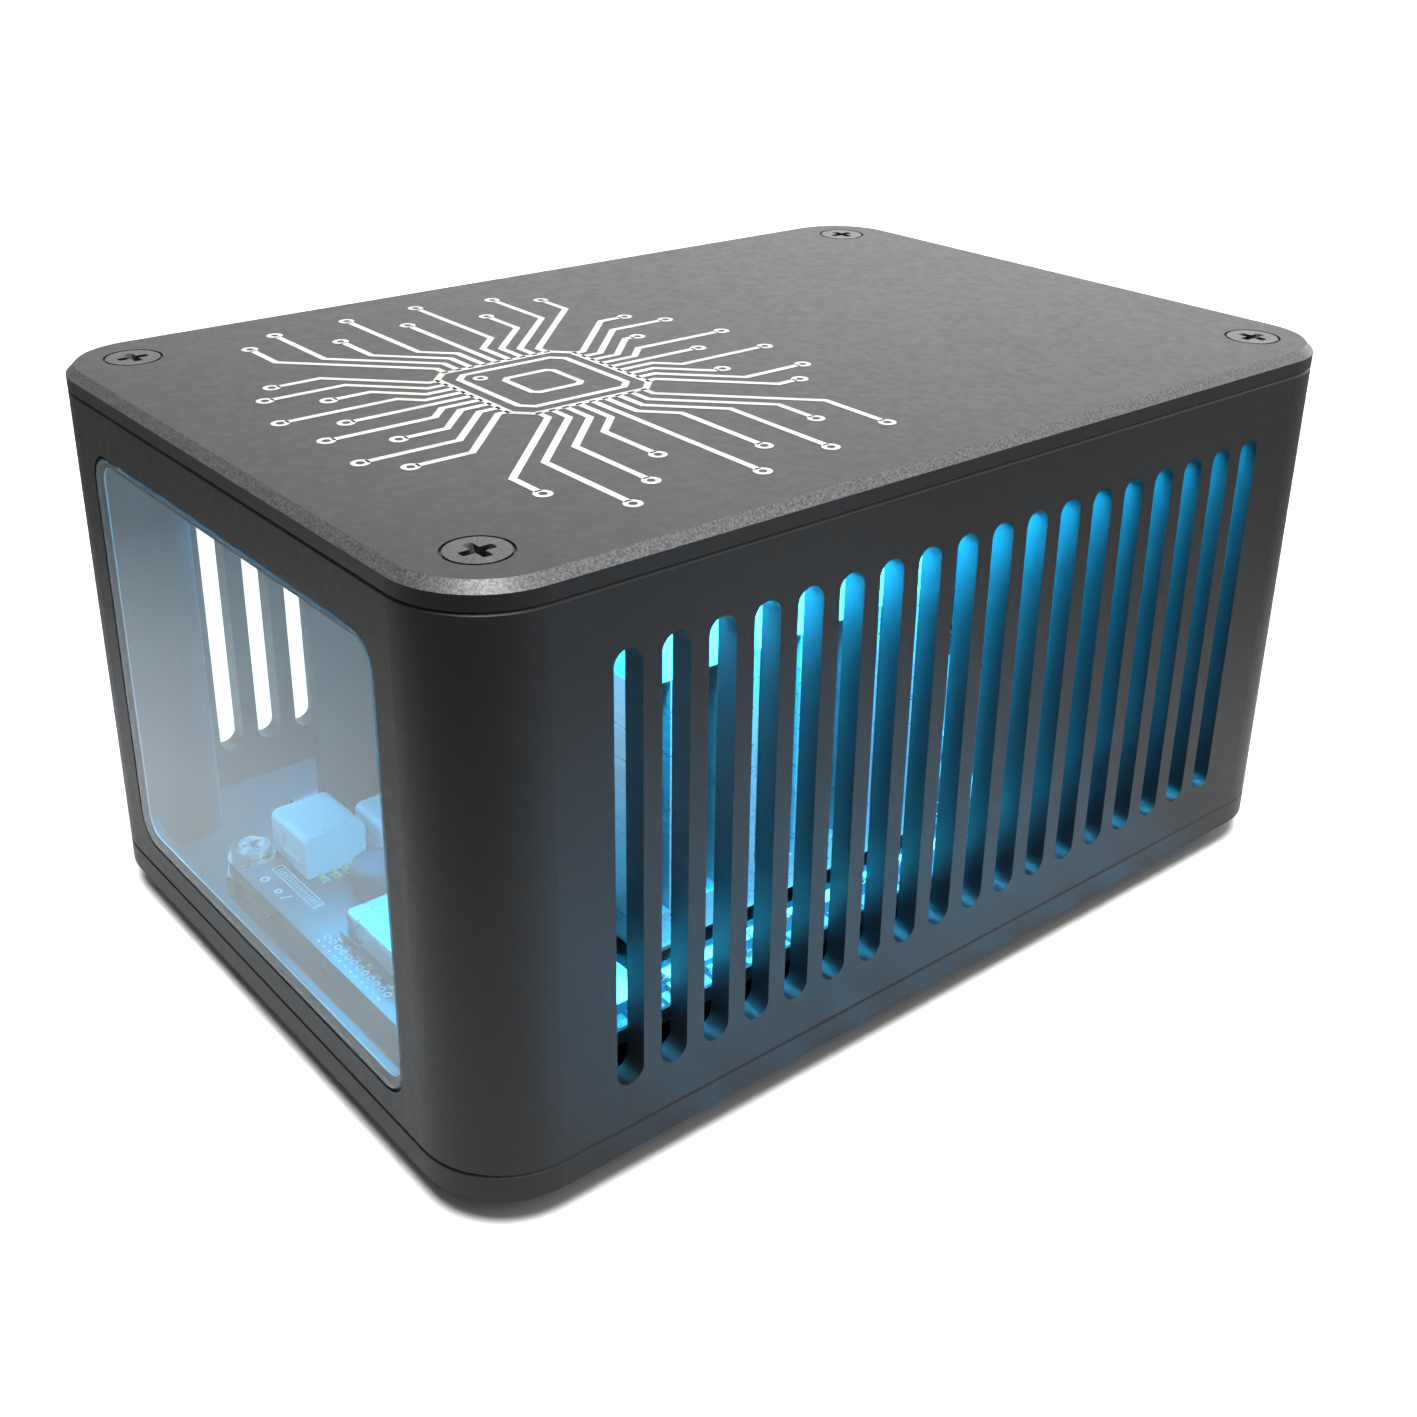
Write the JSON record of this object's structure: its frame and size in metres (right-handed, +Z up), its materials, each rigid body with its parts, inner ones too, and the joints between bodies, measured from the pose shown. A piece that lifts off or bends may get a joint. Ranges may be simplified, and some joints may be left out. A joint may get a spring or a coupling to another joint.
{
  "type": "single board computer",
  "caption": "Cased single board computer: black aluminium housing with a clear end window, slotted sides, lit interior, finned cooler with fan, rear ports and a power button.",
  "frame": {"origin": "middle of the case in plan, on the surface that its rubber feet stand on", "axes": "+X along the case from the window end to the port end, +Y towards the slotted side by the pin header, +Z up"},
  "size_m": [0.118, 0.082, 0.0627],
  "materials": {
    "anodised": "bead-blasted, black anodised",
    "screw_steel": "turned, black finish with fine radial marks",
    "clear_acrylic": "polished clear sheet",
    "adhesive": "cured clear bead",
    "rubber": "moulded matte",
    "board": "black solder mask, satin",
    "steel": "bright zinc plated",
    "shield": "drawn sheet, tin plated",
    "black_plastic": "moulded, fine texture",
    "white_plastic": "moulded nylon",
    "package": "moulded chip package",
    "pad": "soft thermal pad",
    "gold": "gold plated",
    "ferrite": "pressed ferrite, matte",
    "can": "drawn can, satin",
    "led_lens": "small diffused lens",
    "sink": "extruded, clear anodised",
    "fan_plastic": "moulded, satin",
    "frosted_plastic": "moulded, frosted and translucent",
    "copper": "enamelled winding",
    "bronze": "sintered bush",
    "strip_tape": "white flexible tape",
    "light": "lit light-emitting packages",
    "lead_black": "extruded sleeve",
    "switch_plastic": "moulded",
    "button_plastic": "moulded",
    "nickel": "nickel plated shell",
    "spring_steel": "drawn wire"
  },
  "bodies": {
    "computer": {"case_body": "anodised", "top_plate": "anodised", "bottom_plate": "anodised", "top_screws": "screw_steel", "bottom_screws": "screw_steel", "rubber_feet": "rubber", "window_panel": "clear_acrylic", "window_adhesive": "adhesive", "circuit_board": "board", "board_standoffs": "steel", "standoff_screws": "screw_steel", "board_screws": "steel", "cable_cover": "black_plastic", "cable_cover_screws": "screw_steel", "wireless_module_board": "board", "wireless_module_shield": "shield", "front_sockets": "white_plastic", "front_contacts": "gold", "processor": "package", "thermal_pad": "pad", "memory_chips": "package", "storage_chip": "package", "support_chips": "package", "power_inductors": "ferrite", "bulk_capacitors": "can", "status_leds": "led_lens", "header_base": "black_plastic", "header_pins": "gold", "heatsink": "sink", "heatsink_screws": "steel", "heatsink_spacers": "white_plastic", "fan_frame": "frosted_plastic", "fan_stator": "copper", "fan_bearing": "bronze", "fan_screws": "steel", "fan_socket": "white_plastic", "fan_plug": "white_plastic", "fan_lead": "lead_black", "light_strip_left": "strip_tape", "light_strip_right": "strip_tape", "light_strip_leds": "light", "light_strip_link": "lead_black", "light_strip_lead": "lead_black", "switch_bodies": "switch_plastic", "rear_panel": "anodised", "rear_panel_screws": "screw_steel", "port_stack_shell": "nickel", "port_stack_moulding": "black_plastic", "video_port_shell": "nickel", "video_port_tongue": "black_plastic", "usb_c_shell": "nickel", "usb_c_tongue": "black_plastic", "power_button_housing": "nickel", "power_button_nut": "nickel", "power_button_spring": "spring_steel", "power_button_lead": "lead_black"},
    "rotor": {"fan_rotor": "fan_plastic"},
    "power_cap": {"power_button_cap": "switch_plastic"},
    "reset_plunger": {"reset_button": "button_plastic"},
    "boot_plunger": {"boot_button": "button_plastic"}
  },
  "joints": [
    {"name": "fan_spin", "type": "hinge", "parent": "computer", "child": "rotor", "pos_m": [-0.013, -0.01045, 0.048], "axis": [0, 0, 1], "continuous": true},
    {"name": "power_press", "type": "slide", "parent": "computer", "child": "power_cap", "axis": [-1, 0, 0], "range_m": [0, 0.001], "stiffness_N_per_m": 1200, "springref_m": -0.0005, "deforming": ["power_button_spring"]},
    {"name": "reset_press", "type": "slide", "parent": "computer", "child": "reset_plunger", "axis": [0, 0, -1], "range_m": [0, 0.00025], "stiffness_N_per_m": 5000},
    {"name": "boot_press", "type": "slide", "parent": "computer", "child": "boot_plunger", "axis": [0, 0, -1], "range_m": [0, 0.00025], "stiffness_N_per_m": 5000}
  ]
}
